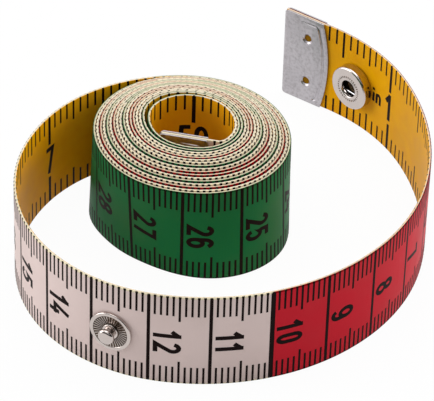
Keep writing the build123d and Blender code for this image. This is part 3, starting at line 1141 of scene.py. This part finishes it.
def make_socket_washer():
    outline = [(1.27, 0.0), (3.60, 0.0), (3.65, 0.05), (3.65, 0.25), (3.60, 0.30), (1.27, 0.30)]
    washer = turned(outline, closed=True)
    soften(washer, socket_edge_round, 28)
    # painted shade: the washer sits inside the socket and is drawn dark all over
    store_shade(washer, np.ones(len(washer.data.vertices)))
    return washer


def make_socket_tube(through):
    """Domed cap on the far face with a tube through the ribbon, flared over the base."""
    outline = [(1.20, -through), (3.62, -through), (3.70, -through - 0.06)]
    outline += quarter_round((3.50, -through - 0.10), 0.20, 0, -90, 4)
    outline += [(1.45, -through - 0.30)] + quarter_round((1.30, -through - 0.02), 0.28, -60, -150, 4)
    outline += [(0.94, 0.10), (0.96, 0.40), (1.06, 0.49), (1.30, 0.49)]
    outline += [(1.62, 0.40), (1.62, 0.33), (1.20, 0.31)]
    tube = turned(outline, closed=True)
    soften(tube, socket_edge_round, 28)
    # painted shade: all but the cap's outside is drawn dark
    height = points_of(tube)[:, 2] / MM
    store_shade(tube, np.where(height > -through - 0.02, 1.0, 0.0))
    return tube


def face_place(from_zero, side, lift):
    """Matrix that stands a turned piece on a face of the ribbon: side 1 is the outer face."""
    x, y, heading = line_place(from_zero)
    out = Vector((-side * math.sin(heading), side * math.cos(heading), 0))
    ahead = Vector((math.cos(heading), math.sin(heading), 0))
    turn = Matrix((ahead, out.cross(ahead), out)).transposed().to_4x4()
    return Matrix.Translation(Vector((x, y, snap_height)) + out * (half_thickness + lift)) @ turn


def hollow_rise(radius, reach):
    """How far the curved ribbon falls away from a flat disc of this reach."""
    return radius - math.sqrt(radius**2 - reach**2)


socket_lift = hollow_rise(loop_stretches[-1][1] - half_thickness, socket_radius)
stud_lift = hollow_rise(loop_stretches[-4][1] - half_thickness, rivet_radius)
on_inner = face_place(socket_from_zero, -1, socket_lift)
on_outer = face_place(stud_from_zero, 1, 0)
socket_through = (tape_thickness + socket_lift) / MM
stud_through = (tape_thickness + stud_lift) / MM
for name, piece, turn, body, node in (
    ("socket_cover", make_socket_cover(), on_inner, "span_6", "socket_shell"),
    ("socket_washer", make_socket_washer(), on_inner, "span_6", "socket_base"),
    ("socket_tube", make_socket_tube(socket_through), on_inner, "span_6", "socket_rivet"),
    ("stud_head", make_stud(), on_outer, "span_2", "stud_body"),
    ("stud_cap", make_stud_cap(stud_through), on_outer, "span_2", "stud_rivet"),
):
    piece.data.transform(turn)
    name_piece(piece, name, nickel_material, smooth=40)
    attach(piece, body)
    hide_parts(node)

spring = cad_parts["socket_spring"]
for slot in spring.material_slots:
    slot.material = spring_material

# ------------------------------------------------------------------ floor, light and camera
def mix_by_sight(tree, lighting, plain, share, output):
    """The plain shade where the camera sees it, straight or in metal, and the lighting one elsewhere."""
    seen = tree.nodes.new("ShaderNodeLightPath")
    amount = seen.outputs["Is Camera Ray"]
    for ray in ("Is Glossy Ray", "Is Transmission Ray"):
        either = tree.nodes.new("ShaderNodeMath")
        either.operation = "MAXIMUM"
        tree.links.new(amount, either.inputs[0])
        tree.links.new(seen.outputs[ray], either.inputs[1])
        amount = either.outputs[0]
    part = tree.nodes.new("ShaderNodeMath")
    part.operation = "MULTIPLY"
    part.inputs[1].default_value = share
    tree.links.new(amount, part.inputs[0])
    blend = tree.nodes.new("ShaderNodeMixShader")
    out = tree.nodes.new(output)
    tree.links.new(part.outputs[0], blend.inputs[0])
    tree.links.new(lighting.outputs[0], blend.inputs[1])
    tree.links.new(plain.outputs[0], blend.inputs[2])
    tree.links.new(blend.outputs[0], out.inputs["Surface"])


bpy.ops.mesh.primitive_plane_add(size=6, location=(0, 0, -0.0002))
floor = bpy.context.object
floor.name = "floor"
floor_paint = bpy.data.materials.new("pale_floor")
floor_paint.use_nodes = True
tree = floor_paint.node_tree
tree.nodes.clear()
matt = tree.nodes.new("ShaderNodeBsdfDiffuse")
matt.inputs["Color"].default_value = (0.9, 0.9, 0.9, 1)
glow = tree.nodes.new("ShaderNodeEmission")
mix_by_sight(tree, matt, glow, 0.96, "ShaderNodeOutputMaterial")
floor.data.materials.append(floor_paint)

world = bpy.data.worlds.new("studio")
bpy.context.scene.world = world
world.use_nodes = True
tree = world.node_tree
tree.nodes.clear()
fill = tree.nodes.new("ShaderNodeBackground")
fill.inputs["Color"].default_value = (1, 1, 1, 1)
fill.inputs["Strength"].default_value = 0.32
plain = tree.nodes.new("ShaderNodeBackground")
plain.inputs["Color"].default_value = (1, 1, 1, 1)
plain.inputs["Strength"].default_value = 1.0
mix_by_sight(tree, fill, plain, 1.0, "ShaderNodeOutputWorld")


def mirror_card(card, name):
    """A dark card that only the metal sees, as a studio sets up to give bright metal its edges."""
    card.name = name
    dull = bpy.data.materials.new(name)
    dull.use_nodes = True
    dull.node_tree.nodes["Principled BSDF"].inputs["Base Color"].default_value = (0.01, 0.01, 0.01, 1)
    dull.node_tree.nodes["Principled BSDF"].inputs["Specular IOR Level"].default_value = 0.0
    card.data.materials.append(dull)
    card.visible_camera = card.visible_diffuse = card.visible_shadow = False


bpy.ops.mesh.primitive_cylinder_add(
    vertices=48, radius=0.75, depth=0.46, end_fill_type="NOTHING", location=(0, 0, 0.26)
)
dark_wall = bpy.context.object
settle(dark_wall)
select_faces(dark_wall, lambda face: face.center.y > -0.2)
bpy.ops.mesh.delete(type="FACE")
bpy.ops.object.mode_set(mode="OBJECT")
mirror_card(dark_wall, "dark_wall")
card_way = Vector((0.37, -0.38, 0.75))
bpy.ops.mesh.primitive_circle_add(
    vertices=32,
    radius=0.30,
    fill_type="NGON",
    location=0.75 * card_way,
    rotation=card_way.to_track_quat("Z", "Y").to_euler(),
)
mirror_card(bpy.context.object, "dark_card")


def soft_light(name, place, aim, size, power):
    lamp = bpy.data.lights.new(name, "AREA")
    lamp.shape = "RECTANGLE"
    lamp.size, lamp.size_y = size
    lamp.energy = power
    lamp_object = add_object(name, lamp)
    lamp_object.location = place
    aim = Vector(aim) - Vector(place)
    lamp_object.rotation_euler = aim.to_track_quat("-Z", "Y").to_euler()


soft_light("top_light", (0.0, 0.15, 0.9), (0, 0, 0), (0.9, 0.9), 5.2)
soft_light("left_light", (-0.9, 0.1, 0.35), (0, 0, 0.01), (0.7, 0.6), 4.8)
soft_light("right_light", (0.83, 0.36, 0.35), (0, 0, 0.01), (0.6, 0.6), 4.6)

camera = bpy.data.cameras.new("camera")
camera.sensor_width = 36.0
camera.sensor_fit = "HORIZONTAL"
camera.lens = 272.96
view = add_object("camera", camera)
tilt, roll, distance = math.radians(37.957), math.radians(1.834), 553.4 * MM
aim = Vector((-1.031 * MM, -5.416 * MM, 10.0 * MM))
back = Vector((0, -math.cos(tilt), math.sin(tilt)))
level, upward = Vector((1, 0, 0)), Vector((0, math.sin(tilt), math.cos(tilt)))
right = level * math.cos(roll) + upward * math.sin(roll)
up = upward * math.cos(roll) - level * math.sin(roll)
turn = Matrix((right, up, back)).transposed().to_4x4()
view.matrix_world = Matrix.Translation(aim + back * distance) @ turn
bpy.context.scene.camera = view
bpy.context.scene.view_settings.view_transform = "Standard"
